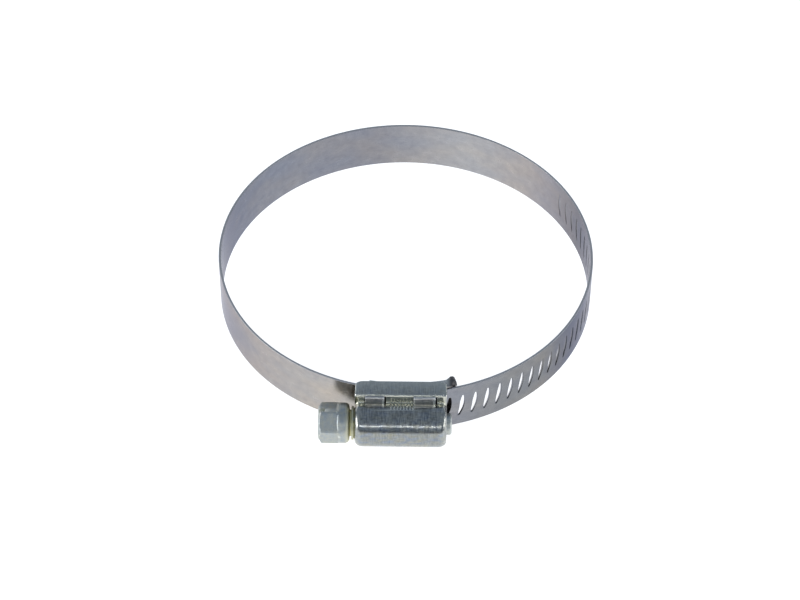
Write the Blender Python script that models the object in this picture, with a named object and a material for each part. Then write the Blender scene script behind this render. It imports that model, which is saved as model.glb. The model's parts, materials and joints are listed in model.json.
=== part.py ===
"""Worm-drive hose clamp with a half-inch slotted band, fully open and lying on the edges of its band.

Metres, +Z up. The screw axis runs along X with its hex head at -X. The housing is at -Y.
Sizes below are in millimetres in the clamp's own frame: the band's circle is centred on x = y = 0 and
the middle of its width is z = 0. Angles run from the front (-Y) towards +X.
The steel strip is divided into rigid links with hinges on its inner surface, so that it can close.
"""

import math

import bmesh
import bpy
from mathutils import Vector

MM = 0.001

# Where the clamp's own frame stands, so that the part rests on z = 0 with its outline centred.
FRAME_SHIFT = (-0.03, 5.025, 7.75)

# Band
BAND_HALF_WIDTH = 6.35
BAND_THICKNESS = 0.6
RING_RADIUS = 44.5  # inner surface
RING_CENTRE = (0.0, 0.0)
GAP = 0.3  # between neighbouring links
HINGE_FIRST = 114.85  # between the slotted band and the first link
HINGE_LAST = 340.0  # between the fixed end and the last link
HINGES = 12
CUT = 227.4  # where the open chain of links leaves its clearance
FIXED_END_STOP = 367.0
COLUMN_STEP = 2.5  # degrees between the columns of a plain stretch

# Slotted band, on a circle that touches the band's circle at the first hinge
SLOTTED_FRONT = 45.5  # inner surface at the front, outside the fixed end
SLOTTED_TAIL = -13.0
SLOT_PITCH = 3.15
SLOT_HALF_LENGTH = 3.3
SLOT_SLANT = 0.14
SLOT_RIGHT_BULGE = 0.6
SLOT_LEFT_BULGE = 0.2
SLOT_TIP_WIDTH = 0.4
SLOT_FIRST = 13.83  # angle of the first slot beside the housing
SLOTS_BEFORE = 6
SLOTS_AFTER = 27

# Worm screw
SCREW_Y = -49.75
MESH_DEPTH = 45.85  # middle of the worm's bite in the slotted band
CORE_RADIUS = 3.2
THREAD_RADIUS = 4.15
CREST_HALF = 0.225
FLANK_HALF = 0.525
TURNS = 5
COLUMNS = 36
NECK_RADIUS = 3.5
TIP_RADIUS = 2.5
COLLAR_RADIUS = 4.55
HEX_APOTHEM = 3.97
HEX_FLAT_ANGLE = 136.0
HEAD_LEFT = -20.0
DRIVER_SLOT_WIDTH = 1.3
DRIVER_SLOT_DEPTH = 1.6

# Housing
HOUSING_LEFT = -11.6
HOUSING_RIGHT = 9.8
HOUSING_WALL = 0.5
HOUSING_HALF_WIDTH = 7.75
HOUSING_BACK = -43.75
SHOULDER_Y = -48.5
DOME_RADIUS = 5.4
CHAMBER_RADIUS = 4.75
END_WALL = 0.65
NECK_HOLE_RADIUS = 3.8
TIP_HOLE_RADIUS = 2.8

# Saddle
SADDLE_INNER = 43.6
SADDLE_OUTER = 44.2
FLANGE_INNER = 6.65
FLANGE_OUTER = 7.1
FLANGE_TOP = 45.75
FLANGE_END_DROP = 0.4
SADDLE_START = -10.5
SADDLE_STOP = 15.0
EARS = ((-8.9, -4.5), (2.2, 7.2))
EAR_HEIGHT = 0.4
EAR_REACH = 5.5
EAR_CLEARANCE = 0.2
LUG_HALF = (0.85, 1.7)
LUG_TOP = 44.95
WINDOW_GAP = 0.25


def clear_scene():
    for old in list(bpy.data.objects):
        bpy.data.objects.remove(old, do_unlink=True)


def metal(name, colour, roughness):
    """A plain metal in one colour."""
    made = bpy.data.materials.new(name)
    made.use_nodes = True
    shader = made.node_tree.nodes["Principled BSDF"]
    shader.inputs["Base Color"].default_value = (*colour, 1.0)
    shader.inputs["Metallic"].default_value = 1.0
    shader.inputs["Roughness"].default_value = roughness
    return made


def placed(point):
    """A point of the clamp's own frame, in metres in the scene."""
    return Vector([(value + shift) * MM for value, shift in zip(point, FRAME_SHIFT)])


def around(centre, radius, angle, z):
    """The point at an angle from the front on a circle that lies flat."""
    turn = math.radians(angle)
    return (centre[0] + radius * math.sin(turn), centre[1] - radius * math.cos(turn), z)


def solid(name, points, faces, look, origin=(0.0, 0.0, 0.0)):
    """One closed mesh object with its origin at a chosen point and its faces outwards."""
    start = placed(origin)
    mesh = bpy.data.meshes.new(name)
    mesh.from_pydata([placed(point) - start for point in points], [], faces)
    body = bmesh.new()
    body.from_mesh(mesh)
    bmesh.ops.recalc_face_normals(body, faces=body.faces)
    body.to_mesh(mesh)
    body.free()
    mesh.materials.append(look)
    mesh.polygons.foreach_set("use_smooth", [True] * len(mesh.polygons))
    mesh.set_sharp_from_angle(angle=math.radians(30))
    made = bpy.data.objects.new(name, mesh)
    made.location = start
    bpy.context.collection.objects.link(made)
    return made


def combine(target, other, operation):
    """Adds an exact Boolean to the target and hides the other solid."""
    step = target.modifiers.new(other.name, "BOOLEAN")
    step.operation = operation
    step.solver = "EXACT"
    step.object = other
    other.hide_render = True
    other.display_type = "WIRE"


def box(name, low, high, look):
    points = [(x, y, z) for x in (low[0], high[0]) for y in (low[1], high[1]) for z in (low[2], high[2])]
    faces = [(0, 1, 3, 2), (4, 6, 7, 5), (0, 4, 5, 1), (2, 3, 7, 6), (0, 2, 6, 4), (1, 5, 7, 3)]
    return solid(name, points, faces, look)


def loft(name, sections, look):
    """Closed sections of equal length, joined in order and capped at both ends."""
    size = len(sections[0])
    points = [point for section in sections for point in section]
    faces = [tuple(range(size)), tuple(range(len(points) - size, len(points)))]
    for row in range(len(sections) - 1):
        for k in range(size):
            after = (k + 1) % size
            faces.append((row * size + k, row * size + after, (row + 1) * size + after, (row + 1) * size + k))
    return solid(name, points, faces, look)


def cylinder(name, left, right, radius, look):
    """A cutter on the screw's axis."""
    sections = []
    for x in (left, right):
        ring = []
        for k in range(COLUMNS):
            turn = 2 * math.pi * k / COLUMNS
            ring.append((x, SCREW_Y + radius * math.cos(turn), radius * math.sin(turn)))
        sections.append(ring)
    return loft(name, sections, look)


def slotted_circle():
    """Centre and inner radius of the slotted band's circle."""
    growth = (SLOTTED_FRONT - RING_RADIUS) / (1 - math.cos(math.radians(HINGE_FIRST)))
    touch = around((0.0, 0.0), growth, HINGE_FIRST, 0.0)
    return (-touch[0], -touch[1]), RING_RADIUS + growth


def slot_angles():
    """Angles of the slots' middles on the slotted band's circle."""
    centre, _ = slotted_circle()
    step = math.degrees(SLOT_PITCH / (MESH_DEPTH + centre[1]))
    return [SLOT_FIRST + step * k for k in range(-SLOTS_BEFORE, SLOTS_AFTER + 1)]


def slot_edges(z):
    """How far the left and right edges of a slot lie from its middle, at this height."""
    inside = max(-SLOT_HALF_LENGTH, min(SLOT_HALF_LENGTH, z))
    swell = 1 - (inside / SLOT_HALF_LENGTH) ** 2
    lean = SLOT_SLANT * inside
    return lean - SLOT_TIP_WIDTH - SLOT_LEFT_BULGE * swell, lean + SLOT_RIGHT_BULGE * swell


def window_edges(z):
    """The straight edges of the window that holds the fixed end on the saddle's lug."""
    return -LUG_HALF[0] - WINDOW_GAP, LUG_HALF[0] + WINDOW_GAP


def strip(name, circle, start, stop, look, holes=(), edges=slot_edges, rows=None, origin=None):
    """A curved strip of band steel between two angles, with holes at the angles given.

    Columns of points run across the strip, and a hole lies between the two columns of its edges.
    """
    centre, inner = circle
    rows = rows or [-BAND_HALF_WIDTH, BAND_HALF_WIDTH]
    columns = []
    opened = set()
    marks = [start, *holes, stop]
    for mark, after in zip(marks, marks[1:]):
        if mark in holes:
            opened.add(len(columns))
            for side in (0, 1):
                columns.append([mark + math.degrees(edges(z)[side] / inner) for z in rows])
        else:
            columns.append([mark] * len(rows))
        steps = max(1, round((after - mark) / COLUMN_STEP))
        columns += [[mark + (after - mark) * k / steps] * len(rows) for k in range(1, steps)]
    columns.append([stop] * len(rows))

    across = len(rows)
    layer = len(columns) * across
    points = [
        around(centre, inner + depth, angle, z)
        for depth in (0.0, BAND_THICKNESS)
        for column in columns
        for angle, z in zip(column, rows)
    ]
    faces = []
    last = len(columns) - 1

    def wall(a, b):
        faces.append((a, b, b + layer, a + layer))

    for index in range(last):
        here, there = index * across, (index + 1) * across
        wall(here, there)
        wall(here + across - 1, there + across - 1)
        for row in range(across - 1):
            quad = (here + row, there + row, there + row + 1, here + row + 1)
            if index in opened and 0 < row < across - 2:
                wall(quad[0], quad[3])
                wall(quad[1], quad[2])
                continue
            faces.append(quad)
            faces.append(tuple(corner + layer for corner in quad))
            if index in opened and row == 0:
                wall(quad[3], quad[2])
            if index in opened and row == across - 2:
                wall(quad[0], quad[1])
    for row in range(across - 1):
        wall(row, row + 1)
        wall(last * across + row, last * across + row + 1)
    return solid(name, points, faces, look, origin or (*centre, 0.0))


SLOT_ROWS = [
    -BAND_HALF_WIDTH,
    -SLOT_HALF_LENGTH,
    -0.9 * SLOT_HALF_LENGTH,
    -0.55 * SLOT_HALF_LENGTH,
    0.0,
    0.55 * SLOT_HALF_LENGTH,
    0.9 * SLOT_HALF_LENGTH,
    SLOT_HALF_LENGTH,
    BAND_HALF_WIDTH,
]


def hinge_angles():
    step = (HINGE_LAST - HINGE_FIRST) / (HINGES - 1)
    return [HINGE_FIRST + step * k for k in range(HINGES)]


def build_band(steel):
    """The fixed end, the slotted end and the links between them."""
    ring = (RING_CENTRE, RING_RADIUS)
    half_gap = math.degrees(GAP / 2 / RING_RADIUS)
    hinges = hinge_angles()
    slots = slot_angles()
    window_rows = [-BAND_HALF_WIDTH, -LUG_HALF[1] - WINDOW_GAP, LUG_HALF[1] + WINDOW_GAP, BAND_HALF_WIDTH]
    strip(
        "band_fixed_end",
        ring,
        HINGE_LAST + half_gap,
        FIXED_END_STOP,
        steel,
        holes=(360.0,),
        edges=window_edges,
        rows=window_rows,
    )
    strip(
        "band_slotted_end",
        slotted_circle(),
        SLOTTED_TAIL,
        HINGE_FIRST - half_gap,
        steel,
        holes=tuple(angle for angle in slots if angle < HINGE_FIRST),
        rows=SLOT_ROWS,
    )
    middle = HINGES // 2
    ends = hinges[:middle] + [CUT] + hinges[middle:]
    for number, (start, stop) in enumerate(zip(ends, ends[1:]), 1):
        pin = start if number <= middle else stop
        held = tuple(angle for angle in slots if start < angle < stop)
        strip(
            f"band_link_{number:02d}",
            ring,
            start + half_gap,
            stop - half_gap,
            steel,
            holes=held,
            rows=SLOT_ROWS if held else None,
            origin=around(RING_CENTRE, RING_RADIUS, pin, 0.0),
        )


def hex_radius(angle):
    """Distance from the axis to the hexagon's side, in this direction."""
    off = (angle - HEX_FLAT_ANGLE + 30.0) % 60.0 - 30.0
    return HEX_APOTHEM / math.cos(math.radians(off))


def thread_height(turn):
    """Height of the thread after this many turns, as a share of its full height."""
    rise = min(1.0, max(0.0, (turn - 0.1) / 0.5))
    fall = min(1.0, max(0.0, (TURNS - 0.1 - turn) / 0.5))
    level = min(rise, fall)
    return level * level * (3 - 2 * level)


def build_screw(zinc):
    """Slotted hex head, collar, neck, right-hand worm and tip, turned as one piece."""
    centre, _ = slotted_circle()
    near_front = slot_angles()[SLOTS_BEFORE - 3]
    crest = centre[0] + (MESH_DEPTH + centre[1]) * math.sin(math.radians(near_front))
    first_crest = crest - 3 * SLOT_PITCH
    angles = [360.0 / COLUMNS * k + 6.0 for k in range(COLUMNS)]
    points, faces = [], []

    def ring(x, radius):
        start = len(points)
        for angle in angles:
            reach = min(radius, hex_radius(angle)) if x < HEAD_LEFT + 4.45 else radius
            turn = math.radians(angle)
            points.append((x, SCREW_Y + reach * math.cos(turn), reach * math.sin(turn)))
        return start

    def joined(rings):
        for a, b in zip(rings, rings[1:]):
            for k in range(COLUMNS):
                after = (k + 1) % COLUMNS
                faces.append((a + k, a + after, b + after, b + k))

    head = [
        (HEAD_LEFT, 3.55),
        (HEAD_LEFT + 0.25, 4.0),
        (HEAD_LEFT + 0.65, 4.6),
        (HEAD_LEFT + 4.4, 4.6),
        (HEAD_LEFT + 4.55, 4.2),
        (HEAD_LEFT + 5.0, COLLAR_RADIUS),
        (HEAD_LEFT + 6.6, COLLAR_RADIUS),
        (HEAD_LEFT + 7.05, 4.3),
        (HEAD_LEFT + 7.2, NECK_RADIUS),
        (HEAD_LEFT + 10.3, NECK_RADIUS),
        (HEAD_LEFT + 10.5, CORE_RADIUS),
        (HEAD_LEFT + 10.65, CORE_RADIUS),
    ]
    tip = [(8.2, CORE_RADIUS), (8.75, CORE_RADIUS), (8.85, TIP_RADIUS), (10.7, TIP_RADIUS), (11.0, 2.2)]
    left = [ring(x, radius) for x, radius in head]
    joined(left)
    faces.append(tuple(left[0] + k for k in range(COLUMNS)))

    profile = [(-FLANK_HALF, 0), (-CREST_HALF, 1), (CREST_HALF, 1), (FLANK_HALF, 0), (SLOT_PITCH / 2, 0)]
    rows = [(k, offset, high) for k in range(TURNS) for offset, high in profile][:-1]
    worm = len(points)
    for turn, offset, high in rows:
        for angle in angles:
            share = turn + angle / 360.0
            radius = CORE_RADIUS + high * thread_height(share) * (THREAD_RADIUS - CORE_RADIUS)
            spin = math.radians(angle)
            x = first_crest + offset + SLOT_PITCH * share
            points.append((x, SCREW_Y + radius * math.cos(spin), radius * math.sin(spin)))

    def at(row, column):
        return worm + row * COLUMNS + column

    count, per_turn, end = len(rows), len(profile), COLUMNS - 1
    for row in range(count - 1):
        for k in range(end):
            faces.append((at(row, k), at(row, k + 1), at(row + 1, k + 1), at(row + 1, k)))
        if row + 1 + per_turn < count:
            seam = (at(row, end), at(row + per_turn, 0), at(row + per_turn + 1, 0), at(row + 1, end))
            faces.append(seam)
    before = left[-1]
    right = [ring(x, radius) for x, radius in tip]
    after = right[0]
    for k in range(end):
        faces.append((before + k, before + k + 1, at(0, k + 1), at(0, k)))
        faces.append((at(count - 1, k), at(count - 1, k + 1), after + k + 1, after + k))
    climb = [at(row, 0) for row in range(per_turn + 1)]
    faces.append((before + end, before, *climb, at(0, end)))
    descent = [at(row, end) for row in range(count - per_turn - 1, count)]
    faces.append((at(count - 1, 0), *descent, after + end, after))
    joined(right)
    faces.append(tuple(right[-1] + k for k in range(COLUMNS)))

    screw = solid("worm_screw", points, faces, zinc, (0.0, SCREW_Y, 0.0))
    half = DRIVER_SLOT_WIDTH / 2
    groove = box(
        "driver_slot_cutter",
        (HEAD_LEFT - 1, SCREW_Y - half, -8.0),
        (HEAD_LEFT + DRIVER_SLOT_DEPTH, SCREW_Y + half, 8.0),
        zinc,
    )
    combine(screw, groove, "DIFFERENCE")


def housing_section(x, inset):
    """The outline of the housing across X, with its dome and corners drawn in by the inset."""
    outline = []
    wide = HOUSING_HALF_WIDTH - 0.35 * inset
    corner = 0.6
    dome = DOME_RADIUS - inset
    low = math.degrees(math.asin((SCREW_Y - SHOULDER_Y) / -dome))
    outline.append((x, HOUSING_BACK, wide))
    for k in range(4):
        turn = math.radians(30 * k)
        y = SHOULDER_Y + 0.25 * inset + corner * (1 - math.sin(turn))
        outline.append((x, y, wide - corner * (1 - math.cos(turn))))
    steps = 18
    for k in range(steps + 1):
        turn = math.radians(-low + (180 + 2 * low) * k / steps)
        outline.append((x, SCREW_Y - dome * math.sin(turn), dome * math.cos(turn)))
    for k in range(3, -1, -1):
        turn = math.radians(30 * k)
        y = SHOULDER_Y + 0.25 * inset + corner * (1 - math.sin(turn))
        outline.append((x, y, -wide + corner * (1 - math.cos(turn))))
    outline.append((x, HOUSING_BACK, -wide))
    return outline


def build_housing(zinc):
    """A pressed shell: side walls, shoulders, a dome over the worm and two end walls."""
    insets = ((0.0, 1.1), (0.25, 0.55), (0.65, 0.2), (1.3, 0.0))
    stations = [(HOUSING_LEFT + x, inset) for x, inset in insets]
    stations += [(HOUSING_RIGHT - x, inset) for x, inset in reversed(insets)]
    housing = loft("housing", [housing_section(x, inset) for x, inset in stations], zinc)
    channel = box(
        "channel_cutter",
        (HOUSING_LEFT - 1, SHOULDER_Y + HOUSING_WALL, -HOUSING_HALF_WIDTH + HOUSING_WALL),
        (HOUSING_RIGHT + 1, HOUSING_BACK + 1, HOUSING_HALF_WIDTH - HOUSING_WALL),
        zinc,
    )
    combine(housing, channel, "DIFFERENCE")
    chamber = cylinder(
        "chamber_cutter", HOUSING_LEFT + END_WALL, HOUSING_RIGHT - END_WALL, CHAMBER_RADIUS, zinc
    )
    combine(housing, chamber, "DIFFERENCE")
    neck_hole = cylinder("neck_hole_cutter", HOUSING_LEFT - 1, HOUSING_LEFT + 1, NECK_HOLE_RADIUS, zinc)
    combine(housing, neck_hole, "DIFFERENCE")
    tip_hole = cylinder("tip_hole_cutter", HOUSING_RIGHT - 1, HOUSING_RIGHT + 1, TIP_HOLE_RADIUS, zinc)
    combine(housing, tip_hole, "DIFFERENCE")
    for side, name in ((1, "top"), (-1, "bottom")):
        for number, (left, right) in enumerate(EARS, 1):
            reach = sorted((side * (FLANGE_INNER - EAR_CLEARANCE), side * (FLANGE_OUTER + EAR_CLEARANCE)))
            window = box(
                f"{name}_window_{number}_cutter",
                (left - EAR_CLEARANCE, SHOULDER_Y - 1, reach[0]),
                (right + EAR_CLEARANCE, SHOULDER_Y + 1, reach[1]),
                zinc,
            )
            combine(housing, window, "DIFFERENCE")


def build_saddle(steel):
    """A curved plate inside the loop with flanges round the band's edges, a lug and four folded ears."""
    sections = []
    steps = 12
    for k in range(steps + 1):
        angle = SADDLE_START + (SADDLE_STOP - SADDLE_START) * k / steps
        top = FLANGE_TOP - (FLANGE_END_DROP if k == steps else 0.0)
        outline = [
            (SADDLE_INNER, -FLANGE_OUTER),
            (SADDLE_INNER, FLANGE_OUTER),
            (top, FLANGE_OUTER),
            (top, FLANGE_INNER),
            (SADDLE_OUTER, FLANGE_INNER),
            (SADDLE_OUTER, -FLANGE_INNER),
            (top, -FLANGE_INNER),
            (top, -FLANGE_OUTER),
        ]
        sections.append([around(RING_CENTRE, radius, angle, z) for radius, z in outline])
    saddle = loft("saddle", sections, steel)
    lug = box(
        "lug_body",
        (-LUG_HALF[0], -LUG_TOP, -LUG_HALF[1]),
        (LUG_HALF[0], -SADDLE_INNER - 0.2, LUG_HALF[1]),
        steel,
    )
    combine(saddle, lug, "UNION")
    skin = 0.01
    fold_low = SHOULDER_Y - EAR_CLEARANCE
    for side, name in ((1, "top"), (-1, "bottom")):
        for number, (left, right) in enumerate(EARS, 1):
            outline = [
                (-FLANGE_TOP + 1.2, side * (FLANGE_OUTER - skin)),
                (fold_low - EAR_HEIGHT + 0.15, side * (FLANGE_OUTER - skin)),
                (fold_low - EAR_HEIGHT, side * (FLANGE_OUTER - 0.15)),
                (fold_low - EAR_HEIGHT, side * EAR_REACH),
                (fold_low, side * EAR_REACH),
                (fold_low, side * (FLANGE_INNER + skin)),
                (-FLANGE_TOP + 1.2, side * (FLANGE_INNER + skin)),
            ]
            ends = [[(x, y, z) for y, z in outline] for x in (left, right)]
            ear = loft(f"{name}_ear_{number}_body", ends, steel)
            combine(saddle, ear, "UNION")


def build():
    clear_scene()
    stainless = metal("stainless_steel", (0.48, 0.48, 0.50), 0.34)
    zinc = metal("zinc_plated_steel", (0.55, 0.57, 0.57), 0.38)
    build_band(stainless)
    build_saddle(stainless)
    build_housing(zinc)
    build_screw(zinc)


build()
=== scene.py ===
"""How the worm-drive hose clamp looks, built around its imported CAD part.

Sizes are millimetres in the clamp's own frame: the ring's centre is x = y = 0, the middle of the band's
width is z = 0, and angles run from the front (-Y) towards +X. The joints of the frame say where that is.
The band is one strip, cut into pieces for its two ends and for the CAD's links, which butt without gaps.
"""

import json
import math

import bmesh
import bpy
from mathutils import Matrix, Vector


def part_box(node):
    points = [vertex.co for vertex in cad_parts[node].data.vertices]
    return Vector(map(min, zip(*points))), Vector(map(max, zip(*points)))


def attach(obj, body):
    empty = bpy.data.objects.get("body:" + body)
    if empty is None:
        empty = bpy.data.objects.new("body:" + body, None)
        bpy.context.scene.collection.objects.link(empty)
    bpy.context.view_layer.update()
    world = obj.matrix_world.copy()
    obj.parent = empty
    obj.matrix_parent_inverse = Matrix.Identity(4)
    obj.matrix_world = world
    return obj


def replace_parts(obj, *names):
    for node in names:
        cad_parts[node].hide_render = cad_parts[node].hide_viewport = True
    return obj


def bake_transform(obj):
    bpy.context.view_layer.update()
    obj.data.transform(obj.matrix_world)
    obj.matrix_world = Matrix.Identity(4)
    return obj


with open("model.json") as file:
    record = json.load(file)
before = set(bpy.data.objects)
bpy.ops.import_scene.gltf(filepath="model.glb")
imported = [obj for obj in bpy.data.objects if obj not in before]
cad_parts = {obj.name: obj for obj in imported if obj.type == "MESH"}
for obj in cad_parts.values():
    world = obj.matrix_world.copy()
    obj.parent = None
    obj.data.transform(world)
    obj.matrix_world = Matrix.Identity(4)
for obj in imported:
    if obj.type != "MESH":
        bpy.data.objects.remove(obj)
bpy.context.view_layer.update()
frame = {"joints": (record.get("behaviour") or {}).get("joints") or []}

MM = 0.001


def circle_centre(a, b, c):
    """Centre of the level circle through three points."""
    ab, ac = b - a, c - a
    turn = 2 * (ab.x * ac.y - ab.y * ac.x)
    x = (ac.y * ab.length_squared - ab.y * ac.length_squared) / turn
    y = (ab.x * ac.length_squared - ac.x * ab.length_squared) / turn
    return a + Vector((x, y, 0.0))


PINS = {joint["name"]: Vector(joint["pos_m"]) / MM for joint in frame["joints"]}
LINKS = 12
LINK_PINS = [PINS[f"link_{number:02d}_bend"] for number in range(1, LINKS + 1)]
ORIGIN = circle_centre(LINK_PINS[0], LINK_PINS[LINKS // 2], LINK_PINS[-1])


def extent(node):
    """Lowest and highest corner of a CAD node, in the clamp's own frame."""
    low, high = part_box(node)
    return low / MM - ORIGIN, high / MM - ORIGIN


# Band: the ring and the slotted end's own circle, each with its centre and inner radius
RING = (Vector((0.0, 0.0, 0.0)), (LINK_PINS[0] - ORIGIN).length)
SLOTTED = (PINS["band_feed"] - ORIGIN, (LINK_PINS[0] - PINS["band_feed"]).length)
HINGES = [math.degrees(math.atan2(pin.x - ORIGIN.x, ORIGIN.y - pin.y)) % 360 for pin in LINK_PINS]
HALF_WIDTH = extent("band_slotted_end")[1].z
THICKNESS = 0.6
EDGE_ROUNDING = 0.17
CUT = 227.4  # where the chain of links is open
TAIL = -13.0  # the slotted end's tip
FIXED_STOP = 367.0  # the other end of the strip
STEP = 0.7  # degrees between the columns of the band's mesh

# The strip's colours by the angle that they have at rest, chosen to look like the photograph's
# Painted reflections of a floor in light and shadow, laid on the steel's tone: darker and bluer where the
# floor beside this surface would lie in the band's shadow, lighter and warmer where it would be lit.
INNER_TONE_WITH_PAINTED_REFLECTIONS = (
    (40.0, (0.30, 0.30, 0.31)),
    (75.0, (0.21, 0.21, 0.23)),
    (108.0, (0.21, 0.21, 0.22)),
    (128.0, (0.34, 0.32, 0.32)),
    (160.0, (0.41, 0.40, 0.39)),
    (190.0, (0.26, 0.26, 0.28)),
    (230.0, (0.25, 0.26, 0.29)),
    (260.0, (0.23, 0.24, 0.27)),
    (310.0, (0.31, 0.30, 0.30)),
)
# Painted reflections on the outer surface, the same way: lighter where the floor in front of it would be
# lit, darker where it would lie in the band's shadow.
OUTER_TONE_WITH_PAINTED_REFLECTIONS = (
    (14.0, (0.27, 0.27, 0.28)),
    (30.0, (0.23, 0.24, 0.25)),
    (46.0, (0.25, 0.25, 0.24)),
    (60.0, (0.16, 0.17, 0.20)),
    (110.0, (0.27, 0.27, 0.28)),
    (250.0, (0.31, 0.30, 0.32)),
    (290.0, (0.37, 0.35, 0.34)),
    (340.0, (0.44, 0.41, 0.37)),
)
SIDE_APART = 40.0  # millimetres between the inner surface, outer surface and cut edges in the strip's map
BEND_REST = 1.0  # degrees at the end of a bend by the cut, used only for a reach that nothing reads
TONGUE_SPAN = (CUT - 9.5, CUT + 2.0)
TONGUE_SKIN = 0.03  # how far the tongue lies below the strip's surface
FIXED_START = HINGES[-1] + 6.0
FIXED_WINDOW = 360.0

# Slots, each a crescent that leans to the right
SLOT_PITCH = 3.15
SLOT_DEPTH = 45.85  # distance in front of the ring's centre at which the pitch is measured
SLOT_FIRST = 13.83
SLOTS_BEFORE = 6
SLOTS_AFTER = 27
SLOT_HALF_LENGTH = 3.3
SLOT_SLANT = 0.14
SLOT_RIGHT_BULGE = 0.6
SLOT_LEFT_BULGE = 0.2
SLOT_TIP_WIDTH = 0.4
SLOT_SLOPE = 0.38  # how far the left wall leans in under the slot
SLOT_SLOPE_FALL = 0.07  # how much more it leans in, for each millimetre down
SLOT_BEVEL = 0.07

# Housing
HOUSING_LOW, HOUSING_HIGH = extent("housing")
HOUSING_LEFT = HOUSING_LOW.x + 0.35
SCREW_Y = (PINS["screw_turn"] - ORIGIN).y
DOME = SCREW_Y - HOUSING_LOW.y
PAST = 1.0  # how far a cutter reaches past the surface that it cuts
SHOULDER_Y = SCREW_Y + 1.75  # half a millimetre behind the CAD's, as the ears' folds are
WALL = 0.5
CHAMBER = 4.75
END_WALL = 0.65
CORNER = 0.6
FILLET = 0.4
END_DEPTH = 1.9
END_INSET = 1.3
SIDE_INSET = 0.35  # how much of the end's inset the side walls lose
SHOULDER_INSET = 0.25  # and the shoulders
BACK_CORNER = 0.7  # and the side walls' rear corners
NECK_HOLE = 3.8
TIP_HOLE = 2.8
WINDOW_GAPS = (0.2, 0.4)  # beside each ear, at its left and right
WINDOW_FRONT = 0.35  # in front of the shoulder
WINDOW_INSIDE = 0.3  # beyond the ear's tip
WINDOW_OUTSIDE = 0.12  # beyond its fold
KNURLS = 8
KNURL_FROM = -2.9
KNURL_PITCH = 0.72
KNURL_HALF = 0.22
KNURL_TURN = (-17.0, 7.0)  # degrees round the dome, from its side towards the front
KNURL_HEIGHT = 0.5
HOUSING_EDGE = 0.07  # rounding of the sharp edges

# Saddle
SADDLE = (43.6, 44.2)  # the plate's inner and outer radius
FLANGE = (6.65, 7.1)  # and its flanges' faces, from the middle of the width
FLANGE_TOP = 45.75
SADDLE_SPAN = (-10.5, 15.6)
LIP_FROM = 13.7  # the flanges end in a rounded lip outside the housing
EARS = ((-8.9, -4.5), (2.2, 7.2))  # left and right end of each
EAR_TOP = extent("saddle")[0].y + 0.5  # half a millimetre behind the CAD's
EAR_THICKNESS = 0.45
EAR_REACH = 4.95
EAR_BULGE = 0.32  # how far the folds swell outwards over the shoulder
LUG_HALF = (0.85, 1.7)
LUG_TOP = 44.95
WINDOW_GAP = 0.25  # round the lug, in the strip's window
SADDLE_EDGE = 0.08

# Worm screw
SCREW_LOW, SCREW_HIGH = extent("worm_screw")
HEAD_LEFT = SCREW_LOW.x + 0.4
APOTHEM = 4.13
HEX_ROUNDING = 0.3
FLAT_ANGLE = 131.7
HEX_UNTIL = 4.15  # distances along the screw from the head's end face
COLLAR_SPAN = (4.7, 6.1)
COLLAR_BACK = 1.05
NECK_SPAN = (7.2, 7.6)
NECK_FLANGE_SPAN = (7.6, 8.1)
JOURNAL_END = 9.9
COLLAR = 4.65
COLLAR_DROP = 0.95  # how far the collar's back rounds down
NECK = 3.05
NECK_FLANGE = 3.9
JOURNAL = 3.5
CORE = 3.2
THREAD = 4.15
TIP = 2.5
TURNS = 5
CREST_HALF = 0.2
FLANK_HALF = 0.52
SCREW_COLUMNS = 120
SCREW_ANGLES = [360.0 / SCREW_COLUMNS * k + 6.0 for k in range(SCREW_COLUMNS)]
DRIVER_SLOT = (1.3, 1.6)  # width and depth
SCREW_EDGE = 0.05

# Studio
TABLE_HALF = 3000.0
TABLE_GLOW = 0.84
TABLE_GAP = 0.03
ROOM_LOW = (0.16, 0.17, 0.18, 1.0)
ROOM_HIGH = (0.30, 0.355, 0.43, 1.0)
ROOM_CHANGE = 0.30  # sine of the elevation at which the high colour starts
CAMERA_DISTANCE = 617.0
CAMERA_ELEVATION = 45.49
CAMERA_AIM = (-1.25, -7.58)  # right and up from the ring's centre, as the camera sees it
CAMERA_ROLL = 0.55
LENS = 114.2


def placed(point):
    """A point of the clamp's own frame, in metres in the scene."""
    return (Vector(point) + ORIGIN) * MM


def along(angle):
    """Length of the strip's inner surface from its tail to this angle."""
    slotted = math.radians(min(angle, HINGES[0]) - TAIL) * SLOTTED[1]
    return slotted + math.radians(max(angle, HINGES[0]) - HINGES[0]) * RING[1]


STRIP_LENGTH = along(FIXED_STOP)


def smooth(value):
    """0 to 1 with level ends."""
    inside = min(1.0, max(0.0, value))
    return inside * inside * (3 - 2 * inside)


# ---------------------------------------------------------------- materials


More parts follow.
